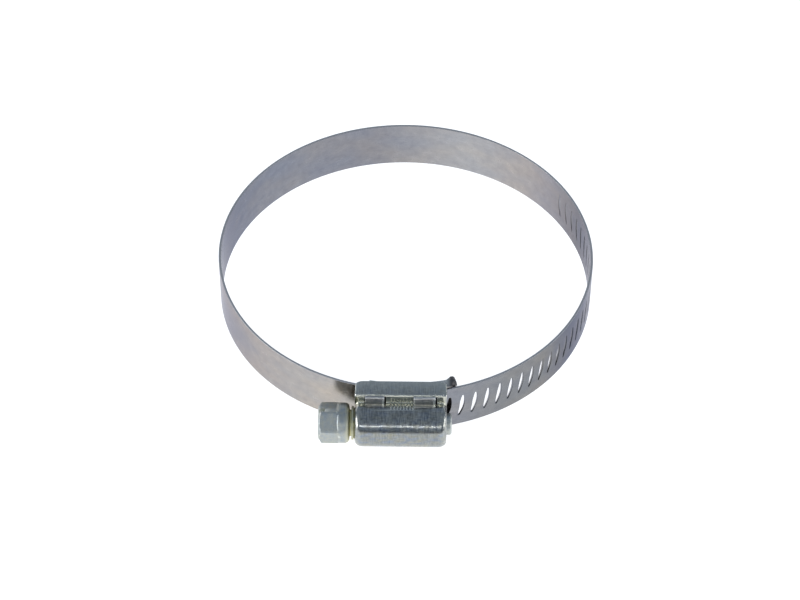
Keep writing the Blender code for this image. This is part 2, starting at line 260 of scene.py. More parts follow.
class Nodes:
    """Short calls that add the nodes of one material."""

    def __init__(self, name):
        self.material = bpy.data.materials.new(name)
        self.material.use_nodes = True
        self.tree = self.material.node_tree
        self.shader = self.tree.nodes["Principled BSDF"]

    def add(self, kind, **values):
        """A new node with these settings."""
        node = self.tree.nodes.new(kind)
        for name, value in values.items():
            setattr(node, name, value)
        return node

    def join(self, source, target):
        self.tree.links.new(source, target)

    def scaled(self, source, scale):
        """Coordinates multiplied along each axis."""
        node = self.add("ShaderNodeMapping", vector_type="POINT")
        node.inputs["Scale"].default_value = scale
        self.join(source, node.inputs["Vector"])
        return node.outputs["Vector"]

    def object_mm(self):
        """The piece's own coordinates, in millimetres."""
        return self.scaled(self.add("ShaderNodeTexCoord").outputs["Object"], (1 / MM, 1 / MM, 1 / MM))

    def axis(self, source, name):
        """One coordinate of three."""
        node = self.add("ShaderNodeSeparateXYZ")
        self.join(source, node.inputs["Vector"])
        return node.outputs[name]

    def noise(self, source, scale, detail, roughness=0.5):
        """A grey cloudy pattern, about 0.5 on average."""
        node = self.add("ShaderNodeTexNoise")
        node.inputs["Scale"].default_value = scale
        node.inputs["Detail"].default_value = detail
        node.inputs["Roughness"].default_value = roughness
        self.join(source, node.inputs["Vector"])
        return node.outputs["Fac"]

    def ramp(self, source, *stops):
        """A colour for each value: (value, colour) pairs."""
        node = self.add("ShaderNodeValToRGB")
        band = node.color_ramp
        band.elements.remove(band.elements[1])
        band.elements[0].position = stops[0][0]
        band.elements[0].color = (*stops[0][1], 1.0)
        for value, colour in stops[1:]:
            band.elements.new(value).color = (*colour, 1.0)
        self.join(source, node.inputs["Fac"])
        return node.outputs["Color"]

    def between(self, source, low, high, new_low, new_high):
        """A value moved from one range to another, and kept inside it."""
        node = self.add("ShaderNodeMapRange")
        for socket, value in zip(node.inputs[1:5], (low, high, new_low, new_high)):
            socket.default_value = value
        self.join(source, node.inputs["Value"])
        return node.outputs["Result"]

    def beyond(self, source, value):
        """0 below a value and 1 above it."""
        return self.between(source, value - 1.0, value + 1.0, 0.0, 1.0)

    def mix(self, share, a, b, blend="MIX"):
        """Two colours mixed; each is a socket or a plain colour."""
        node = self.add("ShaderNodeMix", data_type="RGBA", blend_type=blend)
        for socket, value in ((node.inputs[0], share), (node.inputs[6], a), (node.inputs[7], b)):
            if isinstance(value, bpy.types.NodeSocket):
                self.join(value, socket)
            else:
                socket.default_value = value if isinstance(value, float) else (*value, 1.0)
        return node.outputs[2]

    def laid_over(self, share, colour, source, *stops):
        """A colour with a share of a ramp's colours mixed in."""
        return self.mix(share, colour, self.ramp(source, *stops))

    def shaded(self, colour, source, *stops):
        """A colour multiplied by a ramp's shades."""
        return self.mix(1.0, colour, self.ramp(source, *stops), "MULTIPLY")

    def painted_edge_highlights(self, full):
        """0 on flat faces, and 1 on outer edges whose pointiness reaches this value: the mask for
        highlights painted in a pale colour along the edges.
        """
        points = self.add("ShaderNodeNewGeometry").outputs["Pointiness"]
        return self.between(points, 0.51, full, 0.0, 1.0)

    def sum(self, a, b, weight):
        """a + b * weight"""
        node = self.add("ShaderNodeMath", operation="MULTIPLY_ADD")
        self.join(b, node.inputs[0])
        node.inputs[1].default_value = weight
        self.join(a, node.inputs[2])
        return node.outputs["Value"]

    def bump(self, height, strength, distance):
        """Relief from a height, whose full depth is this distance in millimetres."""
        node = self.add("ShaderNodeBump")
        node.inputs["Strength"].default_value = strength
        node.inputs["Distance"].default_value = distance * MM
        self.join(height, node.inputs["Height"])
        self.join(node.outputs["Normal"], self.shader.inputs["Normal"])

    def metal(self, colour, roughness):
        """The finished material, as a metal of this colour and roughness."""
        self.join(colour, self.shader.inputs["Base Color"])
        self.join(roughness, self.shader.inputs["Roughness"])
        self.shader.inputs["Metallic"].default_value = 1.0
        return self.material


def tone_with_painted_reflections(made, length, stops):
    """The strip's colour by its length, from stops that give the angle: the steel's tone with painted
    reflections of light and shadow.
    """
    return made.ramp(length, *[(along(angle) / STRIP_LENGTH, colour) for angle, colour in stops])


def band_steel():
    """Rolled stainless strip: painted reflections of a lit and shaded floor along it, bluish where shaded
    and warm where lit, fine grain, dark pits and pale cut edges.
    """
    made = Nodes("stainless_strip")
    place = made.add("ShaderNodeUVMap", uv_map="along").outputs["UV"]
    grain = made.noise(made.scaled(place, (0.25, 9.0, 1.0)), 1.0, 4.0, 0.65)
    cloud = made.noise(made.scaled(place, (0.45, 0.5, 1.0)), 1.0, 5.0, 0.6)
    patches = made.noise(made.scaled(place, (0.07, 0.14, 1.0)), 1.0, 2.0, 0.45)
    speckle = made.noise(place, 3.2, 3.0, 0.6)
    length = made.between(made.axis(place, "X"), 0.0, STRIP_LENGTH, 0.0, 1.0)
    # Painted reflections of a floor in light and shadow, one ramp for the inner surface and one for the
    # outer.
    inner = tone_with_painted_reflections(made, length, INNER_TONE_WITH_PAINTED_REFLECTIONS)
    outer = tone_with_painted_reflections(made, length, OUTER_TONE_WITH_PAINTED_REFLECTIONS)
    side = made.axis(place, "Y")
    cut = made.beyond(side, SIDE_APART * 1.5)
    tone = made.mix(made.beyond(side, SIDE_APART / 2), inner, outer)
    tone = made.shaded(tone, patches, (0.36, (0.93, 0.95, 1.0)), (0.64, (1.06, 1.02, 0.98)))
    tone = made.shaded(tone, cloud, (0.3, (0.88, 0.88, 0.90)), (0.7, (1.08, 1.08, 1.07)))
    tone = made.shaded(tone, grain, (0.3, (0.90, 0.90, 0.90)), (0.7, (1.08, 1.08, 1.08)))
    tone = made.shaded(tone, speckle, (0.27, (0.5, 0.5, 0.5)), (0.33, (1.0, 1.0, 1.0)))
    polish = made.between(made.sum(cloud, grain, 0.6), 0.4, 1.2, 0.18, 0.32)
    made.bump(made.sum(grain, speckle, 0.4), 0.25, 0.012)
    # A metal goes white where it is seen at a grazing angle, and this keeps it grey.
    made.shader.inputs["Specular Tint"].default_value = (0.60, 0.60, 0.66, 1.0)
    return made.metal(made.mix(cut, tone, (0.46, 0.46, 0.47)), made.sum(polish, cut, 0.3))


def plain_steel():
    """The saddle's stainless sheet: tumbling marks, highlights painted along its edges and a dark lip."""
    made = Nodes("stainless_sheet")
    place = made.object_mm()
    cloud = made.noise(place, 0.55, 4.0, 0.6)
    marks = made.noise(made.scaled(place, (1.2, 4.0, 4.0)), 1.0, 3.0, 0.6)
    tone = made.ramp(
        cloud,
        (0.3, (0.29, 0.29, 0.30)),
        (0.55, (0.38, 0.37, 0.365)),
        (0.75, (0.47, 0.45, 0.42)),
    )
    tone = made.laid_over(0.2, tone, marks, (0.3, (0.16, 0.16, 0.17)), (0.7, (0.60, 0.59, 0.57)))
    # Painted highlight: a pale colour along the sharp edges.
    tone = made.mix(made.painted_edge_highlights(0.56), tone, (0.86, 0.86, 0.82))
    by_lip = made.between(made.axis(place, "X"), 9.0, 10.6, 0.0, 0.9)
    polish = made.between(cloud, 0.3, 0.7, 0.26, 0.42)
    made.bump(marks, 0.3, 0.03)
    return made.metal(made.mix(by_lip, tone, (0.085, 0.078, 0.078)), polish)


def plated_zinc():
    """The housing's zinc plating: cool grey, mottled and speckled, with a pale yellowish band along the
    fillet in front of the shoulder and highlights painted along the edges.
    """
    made = Nodes("zinc_plating")
    place = made.object_mm()
    mottle = made.noise(made.scaled(place, (0.5, 1.0, 1.0)), 0.9, 3.0, 0.55)
    speckle = made.noise(made.scaled(place, (1.0, 2.6, 2.6)), 1.0, 3.0, 0.6)
    drawn = made.noise(made.scaled(place, (3.6, 0.5, 0.5)), 1.0, 3.0, 0.6)
    tone = made.ramp(
        mottle,
        (0.32, (0.195, 0.235, 0.31)),
        (0.46, (0.250, 0.268, 0.275)),
        (0.58, (0.272, 0.278, 0.250)),
        (0.72, (0.315, 0.305, 0.240)),
    )
    from_front = made.axis(place, "Y")
    front = ORIGIN.y + SCREW_Y - DOME
    spots = made.between(from_front, front + 0.2, front + 0.9, 0.12, 0.34)
    tone = made.laid_over(spots, tone, speckle, (0.36, (0.05, 0.06, 0.09)), (0.60, (0.46, 0.475, 0.44)))
    tone = made.laid_over(spots, tone, drawn, (0.38, (0.06, 0.07, 0.08)), (0.60, (0.50, 0.50, 0.48)))
    groove = ORIGIN.y + SHOULDER_Y
    by_shoulder = made.between(from_front, groove - 1.5, groove - 0.5, 0.0, 0.75)
    past_shoulder = made.between(from_front, groove + 0.05, groove + 0.3, 0.0, 1.0)
    tone = made.mix(past_shoulder, made.mix(by_shoulder, tone, (0.62, 0.61, 0.50)), tone)
    polish = made.between(made.sum(mottle, speckle, 0.5), 0.45, 0.95, 0.13, 0.25)
    made.bump(made.sum(drawn, speckle, 0.8), 0.17, 0.012)
    # Painted highlight: a pale colour along the sharp edges.
    return made.metal(made.mix(made.painted_edge_highlights(0.55), tone, (0.66, 0.67, 0.62)), polish)


def screw_zinc():
    """The screw's zinc plating: paler and duller, with machining lines, a yellow band at the neck and
    highlights painted along the edges.
    """
    made = Nodes("zinc_screw")
    place = made.object_mm()
    mottle = made.noise(place, 0.9, 4.0, 0.6)
    speckle = made.noise(place, 4.0, 3.0, 0.65)
    turned = made.noise(made.scaled(place, (7.0, 0.35, 0.35)), 1.0, 3.0, 0.6)
    tone = made.ramp(
        mottle,
        (0.34, (0.350, 0.400, 0.435)),
        (0.48, (0.420, 0.450, 0.440)),
        (0.62, (0.490, 0.500, 0.440)),
    )
    tone = made.laid_over(0.22, tone, speckle, (0.34, (0.13, 0.15, 0.17)), (0.64, (0.50, 0.51, 0.48)))
    tone = made.laid_over(0.15, tone, turned, (0.34, (0.14, 0.15, 0.16)), (0.64, (0.52, 0.53, 0.50)))
    from_left = made.axis(place, "X")
    by_neck = made.between(from_left, -13.6, -12.4, 0.0, 0.8)
    past_neck = made.between(from_left, -11.2, -10.4, 0.0, 1.0)
    tone = made.mix(past_neck, made.mix(by_neck, tone, (0.58, 0.54, 0.28)), tone)
    polish = made.between(made.sum(mottle, turned, 0.5), 0.4, 1.0, 0.38, 0.52)
    made.bump(made.sum(turned, speckle, 0.6), 0.25, 0.03)
    # Painted highlight: a pale colour along the sharp edges.
    return made.metal(made.mix(made.painted_edge_highlights(0.56), tone, (0.62, 0.64, 0.60)), polish)


# ---------------------------------------------------------------- meshes


def mesh_piece(name, points, faces, look, soft_edges=(), bevel=0.0):
    """One closed mesh in metres. soft_edges are the pairs of points whose edges get a small bevel."""
    mesh = bpy.data.meshes.new(name)
    mesh.from_pydata([placed(point) for point in points], [], faces)
    body = bmesh.new()
    body.from_mesh(mesh)
    bmesh.ops.recalc_face_normals(body, faces=body.faces)
    if soft_edges:
        wanted = {frozenset(pair) for pair in soft_edges}
        chosen = [e for e in body.edges if frozenset((e.verts[0].index, e.verts[1].index)) in wanted]
        bmesh.ops.bevel(
            body,
            geom=chosen,
            offset=bevel * MM,
            segments=2,
            profile=0.5,
            affect="EDGES",
            clamp_overlap=True,
        )
    body.to_mesh(mesh)
    body.free()
    mesh.materials.append(look)
    mesh.polygons.foreach_set("use_smooth", [True] * len(mesh.polygons))
    made = bpy.data.objects.new(name, mesh)
    bpy.context.scene.collection.objects.link(made)
    return made


def combine(target, other, operation):
    """Adds or cuts another solid exactly, and removes that solid."""
    step = target.modifiers.new(other.name, "BOOLEAN")
    step.operation = operation
    step.solver = "EXACT"
    step.object = other
    settle(target)
    bpy.data.objects.remove(other)


def settle(target):
    """Turns the object's modifiers into its mesh."""
    ready = target.evaluated_get(bpy.context.evaluated_depsgraph_get())
    mesh = bpy.data.meshes.new_from_object(ready)
    target.modifiers.clear()
    target.data = mesh


def keep_creases(target):
    """Shades the mesh smooth between its creases, with its large faces flat to the eye."""
    target.data.set_sharp_from_angle(angle=math.radians(50))
    normals = target.modifiers.new("normals", "WEIGHTED_NORMAL")
    normals.keep_sharp = True


def finished(target, bevel, angle=32.0):
    """Rounds the edges that turn by more than an angle."""
    step = target.modifiers.new("bevel", "BEVEL")
    step.width = bevel * MM
    step.segments = 2
    step.limit_method = "ANGLE"
    step.angle_limit = math.radians(angle)
    settle(target)
    target.data.polygons.foreach_set("use_smooth", [True] * len(target.data.polygons))
    keep_creases(target)


def loft(name, sections, look):
    """Closed sections of equal length, joined in order and capped at both ends."""
    size = len(sections[0])
    points = [point for section in sections for point in section]
    faces = [tuple(range(size)), tuple(range(len(points) - size, len(points)))]
    for here in range(0, len(points) - size, size):
        there = here + size
        for k in range(size):
            after = (k + 1) % size
            faces.append((here + k, here + after, there + after, there + k))
    return mesh_piece(name, points, faces, look)


def block(name, low, high, look):
    """A box between two corners."""
    corners = [(low[1], low[2]), (high[1], low[2]), (high[1], high[2]), (low[1], high[2])]
    return loft(name, [[(x, y, z) for y, z in corners] for x in (low[0], high[0])], look)


def cylinder(name, left, right, radius, look):
    """A cutter on the screw's axis."""
    turns = [2 * math.pi * k / 96 for k in range(96)]
    outline = [(SCREW_Y + radius * math.cos(turn), radius * math.sin(turn)) for turn in turns]
    return loft(name, [[(x, y, z) for y, z in outline] for x in (left, right)], look)


# ---------------------------------------------------------------- band


def band_point(angle, depth, z):
    """A point of the strip, this deep from its inner surface."""
    centre, inner = SLOTTED if angle < HINGES[0] else RING
    turn = math.radians(angle)
    return (centre.x + (inner + depth) * math.sin(turn), centre.y - (inner + depth) * math.cos(turn), z)


def slot_angles():
    """The angle of each slot's middle."""
    step = math.degrees(SLOT_PITCH / (SLOT_DEPTH + SLOTTED[0].y))
    return [SLOT_FIRST + step * k for k in range(-SLOTS_BEFORE, SLOTS_AFTER + 1)]


def slot_edges(z, depth):
    """How far the left and right edges of a slot lie from its middle, at this height and depth."""
    inside = max(-SLOT_HALF_LENGTH, min(SLOT_HALF_LENGTH, z))
    swell = 1 - (inside / SLOT_HALF_LENGTH) ** 2
    lean = SLOT_SLANT * inside
    slope = (1 - depth / THICKNESS) * (SLOT_SLOPE - SLOT_SLOPE_FALL * inside) * (0.3 + 0.7 * swell)
    return lean - SLOT_TIP_WIDTH - SLOT_LEFT_BULGE * swell + slope, lean + SLOT_RIGHT_BULGE * swell


def window_edges(z, depth):
    """The same for the lug's window, whose edges are straight at every height and depth."""
    return -LUG_HALF[0] - WINDOW_GAP, LUG_HALF[0] + WINDOW_GAP


SLOT_ROWS = [SLOT_HALF_LENGTH * math.sin(math.radians(15 * k)) for k in range(-6, 7)]
WINDOW_ROWS = [-LUG_HALF[1] - WINDOW_GAP, LUG_HALF[1] + WINDOW_GAP]


def hole_angles(edges, z, depth):
    """Degrees from a hole's middle to its left and right edges."""
    return [math.degrees(length / RING[1]) for length in edges(z, depth)]


def strip_outline(rows, skin):
    """(depth, height) round the strip's section: the inner surface, an edge, the outer surface, an edge."""
    bend = [math.radians(30 * k) for k in range(1, 4)]
    corner = [(EDGE_ROUNDING * (1 - math.cos(t)), rows[-1] + EDGE_ROUNDING * math.sin(t)) for t in bend]
    top = THICKNESS - skin
    over = [(skin + inward, z) for inward, z in corner]
    over += [(top - inward, z) for inward, z in reversed(corner)]
    under = [(depth, -z) for depth, z in reversed(over)]
    return [(skin, z) for z in rows] + over + [(top, z) for z in reversed(rows)] + under


def strip_columns(start, stop, holes, edges, outline):
    """The angles of each column's points, and the columns after which a hole is open."""
    marks = [start, *holes, stop]
    columns, opened = [], set()
    for mark, after in zip(marks, marks[1:]):
        if mark in holes:
            opened.add(len(columns))
            sides = [hole_angles(edges, z, depth) for depth, z in outline]
            columns += [[mark + side[k] for side in sides] for k in (0, 1)]
        else:
            columns.append([mark] * len(outline))
        steps = max(2, round((after - mark) / STEP))
        first = mark + (hole_angles(edges, 0.0, THICKNESS)[1] if mark in holes else 0.0)
        last = after + (hole_angles(edges, 0.0, THICKNESS)[0] if after in holes else 0.0)
        columns += [[first + (last - first) * k / steps] * len(outline) for k in range(1, steps)]
    columns.append([stop] * len(outline))
    return columns, opened


def strip_faces(columns, size, rows, opened):
    """The faces between columns of points, and the pairs of points round the holes' rims."""
    opposite = size // 2 + rows - 1  # the outer point over the inner row k is this less k
    gap = range(1, rows - 2)
    gap_faces = {*gap, *(opposite - row - 1 for row in gap)}
    faces, rims = [], []
    for index in range(columns - 1):
        here, there = index * size, (index + 1) * size
        for k in range(size):
            after = (k + 1) % size
            if index not in opened or k not in gap_faces:
                faces.append((here + k, there + k, there + after, here + after))
        if index not in opened:
            continue
        walls = []
        for row in gap:
            for side in (here, there):
                walls.append((side + row, side + row + 1, side + opposite - row - 1, side + opposite - row))
        for row in (1, rows - 2):
            walls.append((here + row, there + row, there + opposite - row, here + opposite - row))
        faces += walls
        rims += [pair for wall in walls for pair in (wall[:2], wall[2:])]
    faces += [tuple(range(size)), tuple((columns - 1) * size + k for k in range(size))]
    return faces, rims


def strip(name, start, stop, look, holes=(), edges=slot_edges, hole_rows=SLOT_ROWS, skin=0.0):
    """A stretch of the strip with rounded edges, and holes at the angles given.

    The skin is how far the whole surface is drawn in.
    """
    flat_half = HALF_WIDTH - skin - EDGE_ROUNDING
    rows = [-flat_half, *(hole_rows if holes else (0.0,)), flat_half]
    outline = strip_outline(rows, skin)
    columns, opened = strip_columns(start, stop, holes, edges, outline)
    points = [band_point(angle, *spot) for column in columns for angle, spot in zip(column, outline)]
    faces, rims = strip_faces(len(columns), len(outline), len(rows), opened)
    made = mesh_piece(name, points, faces, look, rims, SLOT_BEVEL)
    map_along(made, start)
    keep_creases(made)
    return made


def place_on(circle, point, start):
    """A point's angle, counted on from a stretch's start, and its depth outside a circle."""
    flat = point - circle[0]
    angle = math.degrees(math.atan2(flat.x, -flat.y))
    if angle < start - 20:  # well before the start, so a turn further on
        angle += 360
    return angle, math.hypot(flat.x, flat.y) - circle[1]


def map_along(made, start):
    """Maps a strip by its length and height, with its inner surface, outer surface and cut edges apart."""
    layer = made.data.uv_layers.new(name="along")
    for polygon in made.data.polygons:
        for corner in polygon.loop_indices:
            point = made.data.vertices[made.data.loops[corner].vertex_index].co / MM - ORIGIN
            angle, depth = place_on(SLOTTED, point, start)
            if angle >= HINGES[0]:
                angle, depth = place_on(RING, point, start)
            side = SIDE_APART if depth > THICKNESS / 2 else 0.0
            if abs(polygon.normal.z) > 0.5 and abs(point.z) > HALF_WIDTH - EDGE_ROUNDING:
                side = 2 * SIDE_APART
            layer.data[corner].uv = (along(angle), point.z + side)


def middle(first, second):
    """The angle half way between two hinges."""
    return (HINGES[first] + HINGES[second]) / 2


def build_band(look):
    """The slotted end, the bends over the twelve hinges, and the fixed end."""
    slots = slot_angles()
    first_seam = (slots[-6] + slots[-5]) / 2
    slotted = strip("slotted_strip", TAIL, first_seam, look, [a for a in slots if a < first_seam])
    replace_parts(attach(slotted, "slotted_band"), "band_slotted_end")

    half = LINKS // 2
    seams = [first_seam] + [middle(k, k + 1) for k in range(half - 1)] + [CUT]
    for number in range(1, half + 1):
        start, stop = seams[number - 1], seams[number]
        held = [angle for angle in slots if start < angle < stop]
        made = strip(f"band_bend_{number:02d}", start, stop, look, held)
        reach = stop - BEND_REST
        if number == half:
            reach = min(reach, 2 * HINGES[number - 1] - start)
        turn_over(made)
        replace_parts(made, f"band_link_{number:02d}")

    seams = [CUT] + [middle(k, k + 1) for k in range(half, LINKS - 1)] + [FIXED_START]
    for number in range(half + 1, LINKS + 1):
        place = number - half
        start, stop = seams[place - 1], seams[place]
        made = strip(f"band_bend_{number:02d}", start, stop, look)
        reach = start
        if place == 1:
            reach = max(start + BEND_REST, 2 * HINGES[number - 1] - stop)
        turn_over(made)
        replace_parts(made, f"band_link_{number:02d}")

    tongue = strip("band_joint_tongue", *TONGUE_SPAN, look, skin=TONGUE_SKIN)
    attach(tongue, f"link_{half + 1:02d}")

    fixed = strip("fixed_strip", FIXED_START, FIXED_STOP, look, [FIXED_WINDOW], window_edges, WINDOW_ROWS)
    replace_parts(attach(fixed, "base"), "band_fixed_end")


def turn_over(made):
    """Bakes a stretch of the strip's placement into its mesh."""
    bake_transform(made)


# ---------------------------------------------------------------- housing


def housing_section(x, inset):
    """The outline of the housing across X: walls, rounded shoulders, fillets and dome."""
    wide = HOUSING_HIGH.z - SIDE_INSET * inset
    shoulder = SHOULDER_Y + SHOULDER_INSET * inset
    dome = DOME - inset
    rise = shoulder - FILLET - SCREW_Y
    spread = math.sqrt((dome + FILLET) ** 2 - rise**2)
    half = [(HOUSING_HIGH.y - BACK_CORNER * inset, wide)]
    for k in range(7):
        turn = math.radians(15 * k)
        half.append((shoulder + CORNER * (1 - math.sin(turn)), wide - CORNER * (1 - math.cos(turn))))
    meet = math.atan2(rise, spread)
    for k in range(5):
        turn = (math.pi / 2 - meet) * k / 4
        half.append((shoulder - FILLET * (1 - math.cos(turn)), spread - FILLET * math.sin(turn)))
    arc = 28
    for k in range(1, arc + 1):
        turn = -meet + (math.pi / 2 + meet) * k / arc
        half.append((SCREW_Y - dome * math.sin(turn), dome * math.cos(turn)))
    other = [(y, -z) for y, z in reversed(half[:-1])]
    return [(x, y, z) for y, z in half + other]


def housing_stations():
    """(x, inset) along the housing, whose ends round in."""
    steps = 9
    ends = []
    for k in range(steps + 1):
        turn = math.radians(90 * k / steps)
        ends.append((END_DEPTH * (1 - math.cos(turn)), END_INSET * (1 - math.sin(turn))))
    left = [(HOUSING_LEFT + depth, inset) for depth, inset in ends]
    return left + [(HOUSING_HIGH.x - depth, inset) for depth, inset in reversed(ends)]


def ear_window(side, ear_left, ear_right, look):
    """The cutter for the window that an ear folds into."""
    reach = sorted((side * (EAR_REACH - WINDOW_INSIDE), side * (FLANGE[1] + WINDOW_OUTSIDE)))
    low = (ear_left - WINDOW_GAPS[0], SHOULDER_Y - WINDOW_FRONT, reach[0])
    high = (ear_right + WINDOW_GAPS[1], SHOULDER_Y + PAST, reach[1])
    return block("window", low, high, look)


def build_housing(look):
    """A pressed shell over the worm, open towards the band, with windows for the saddle's ears."""
    housing = loft("housing_shell", [housing_section(*station) for station in housing_stations()], look)
    inner_z = HOUSING_HIGH.z - WALL
    channel = block(
        "channel",
        (HOUSING_LOW.x - PAST, SHOULDER_Y + WALL, -inner_z),
        (HOUSING_HIGH.x + PAST, HOUSING_HIGH.y + PAST, inner_z),
        look,
    )
    combine(housing, channel, "DIFFERENCE")
    for name, ends_at, radius in (
        ("chamber", (HOUSING_LEFT + END_WALL, HOUSING_HIGH.x - END_WALL), CHAMBER),
        ("neck_hole", (HOUSING_LOW.x - PAST, HOUSING_LOW.x + PAST), NECK_HOLE),
        ("tip_hole", (HOUSING_HIGH.x - PAST, HOUSING_HIGH.x + PAST), TIP_HOLE),
    ):
        combine(housing, cylinder(name, *ends_at, radius, look), "DIFFERENCE")
    for side in (1, -1):
        for ends in EARS:
            combine(housing, ear_window(side, *ends, look), "DIFFERENCE")
        for k in range(KNURLS):
            combine(housing, knurl(KNURL_FROM + KNURL_PITCH * k, side, look), "UNION")
    finished(housing, HOUSING_EDGE)
    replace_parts(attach(housing, "base"), "housing")


def knurl(middle_x, side, look):
    """One pressed rib up the fillet where the dome leaves the shoulder, between two ears."""
    sections = []
    for share in (-1.0, -0.6, 0.0, 0.6, 1.0):
        proud = 1 - share * share
        upper, lower = map(math.radians, KNURL_TURN)
        outline = []
        for k in range(9):
            turn = upper + (lower - upper) * k / 8
            reach = DOME + proud * (KNURL_HEIGHT * (1 - k / 8) ** 1.3 + 0.08) - 0.01
            outline.append((SCREW_Y - reach * math.sin(turn), side * reach * math.cos(turn)))
        for turn in (lower, upper):
            inner = DOME - 0.2
            outline.append((SCREW_Y - inner * math.sin(turn), side * inner * math.cos(turn)))
        sections.append([(middle_x + KNURL_HALF * share, y, z) for y, z in outline])
    return loft("knurl", sections, look)


# ---------------------------------------------------------------- saddle


def saddle_section(angle):
    """The saddle's outline at this angle: a plate with two flanges, which end in a swept, rounded lip."""
    lip = smooth((angle - LIP_FROM) / 0.5)
    swept = smooth((angle - LIP_FROM + 1.2) / 1.6)
    last = max(0.0, (angle - SADDLE_SPAN[1] + 0.9) / 0.9)
    corner = 0.8 * (1 - math.sqrt(1 - min(1.0, last) ** 2))
    rear = SADDLE[0] - 0.55 * swept + corner
    high = FLANGE[1] + 0.3 * lip - 0.5 * corner
    low = FLANGE[0] - 0.25 * lip
    front = FLANGE_TOP - 0.45 * lip
    edge = front - 0.6 * lip
    upper = [(rear, high), (edge, high), (front, low + 0.25), (front, low), (SADDLE[1], low)]
    outline = upper + [(r, -z) for r, z in reversed(upper)]
    turn = math.radians(angle)
    return [(r * math.sin(turn), -r * math.cos(turn), z) for r, z in outline]


def build_saddle(look):
    """The curved plate inside the loop, with flanges, a lug and four ears folded over the housing."""
    angles = [SADDLE_SPAN[0] + (LIP_FROM - SADDLE_SPAN[0]) * k / 30 for k in range(30)]
    angles += [LIP_FROM + (SADDLE_SPAN[1] - LIP_FROM) * k / 12 for k in range(13)]
    saddle = loft("saddle_plate", [saddle_section(angle) for angle in angles], look)
    wide, high = LUG_HALF
    lug = block("lug", (-wide, -LUG_TOP, -high), (wide, -SADDLE[0] - 0.2, high), look)
    combine(saddle, lug, "UNION")
    for side in (1, -1):
        for number, ends in enumerate(EARS):
            combine(saddle, ear(side, number, *ends, look), "UNION")
    finished(saddle, SADDLE_EDGE)
    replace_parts(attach(saddle, "base"), "saddle")


def ear(side, number, left, right, look):
    """A tab that rises through the housing's window and folds over its shoulder.

    The second ear's fold is uneven: its edge is ragged and it stands a little off the shoulder.
    """
    sections = []
    steps = 16
    for k in range(steps + 1):
        share = k / steps
        x = left + (right - left) * share
        ragged = number * (0.16 * math.sin(9.0 * share) + 0.10 * math.sin(23.0 * share + 1.0))
        top = EAR_TOP - 0.04 * number * math.sin(5.5 * share + 0.6)
        under = top + EAR_THICKNESS + 0.05 * ragged
        reach = EAR_REACH + 0.25 * number * smooth(share * 3 - 2.2) + 0.6 * abs(ragged)
        fold = [math.radians(18 * j) for j in range(6)]
        outer = FLANGE[1] - 0.01
        wide = outer + EAR_BULGE - 0.08 * number * abs(math.sin(7.0 * share))
        outline = [(-FLANGE_TOP + 1.2, outer), (SHOULDER_Y + 0.1, outer), (SHOULDER_Y - 0.03, wide)]
        outline += [(top + 0.3 * (1 - math.sin(t)), wide - 0.3 * (1 - math.cos(t))) for t in fold]
        outline += [(top + 0.02, reach + 0.12), (top + 0.12, reach), (under - 0.05, reach)]
        outline += [(under, reach + 0.1), (under, FLANGE[0] + 0.01), (-FLANGE_TOP + 1.2, FLANGE[0] + 0.01)]
        sections.append([(x, y, side * z) for y, z in outline])
    return loft("ear", sections, look)


# ---------------------------------------------------------------- screw


def hex_radius(angle):
    """Distance from the axis to the side of the hexagon with rounded corners, in this direction."""
    off = abs((angle - FLAT_ANGLE + 30.0) % 60.0 - 30.0)
    corner = (APOTHEM - HEX_ROUNDING) / math.cos(math.radians(30.0))
    flat_until = math.degrees(math.atan2(corner * 0.5, APOTHEM))
    if off <= flat_until:
        return APOTHEM / math.cos(math.radians(off))
    away = math.radians(30.0 - off)
    return corner * math.cos(away) + math.sqrt(HEX_ROUNDING**2 - (corner * math.sin(away)) ** 2)


def head_rings():
    """(x, function of the angle giving the radius) from the head's end face to the worm's core."""

    def hexed(limit):
        return lambda angle: min(hex_radius(angle), limit)

    def rising(share):
        return lambda angle: hex_radius(angle) + (COLLAR - hex_radius(angle)) * share

    def plain(radius):
        return lambda angle: radius

    # The chamfered hexagon, and the fillet from it up to the collar
    rings = [(0.0, hexed(3.55)), (0.06, hexed(3.72)), (0.2, hexed(3.93))]
    rings += [(0.2 + 0.1 * k, hexed(3.93 + 0.15 * k)) for k in range(1, 7)]
    rings += [(x, hex_radius) for x in (1.5, 3.0, HEX_UNTIL - 0.05)]
    rise = COLLAR_SPAN[0] - HEX_UNTIL
    rings += [(HEX_UNTIL + rise * k / 8, rising(1 - math.sqrt(1 - (k / 8) ** 2))) for k in range(1, 9)]
    # The collar and its rounded back
    rings += [(5.3, plain(COLLAR)), (COLLAR_SPAN[1], plain(COLLAR))]
    for k in range(1, 8):
        turn = math.radians(90 * k / 7)
        drop = COLLAR_DROP * (1 - math.cos(turn))
        rings.append((COLLAR_SPAN[1] + COLLAR_BACK * math.sin(turn), plain(COLLAR - drop)))
    # The neck, its flange, the journal and the core
    left, right = NECK_FLANGE_SPAN
    rings += [(NECK_SPAN[0], plain(NECK + 0.1))]
    rings += [(NECK_SPAN[0] + 0.1, plain(NECK)), (NECK_SPAN[1], plain(NECK))]
    rings += [(left + 0.02, plain(NECK_FLANGE - 0.08)), (left + 0.1, plain(NECK_FLANGE))]
    rings += [(right - 0.1, plain(NECK_FLANGE)), (right - 0.02, plain(NECK_FLANGE - 0.08))]
    rings += [(right, plain(JOURNAL)), (JOURNAL_END, plain(JOURNAL))]
    rings += [(JOURNAL_END + 0.2, plain(CORE)), (JOURNAL_END + 0.35, plain(CORE))]
    return [(HEAD_LEFT + x, radius) for x, radius in rings]


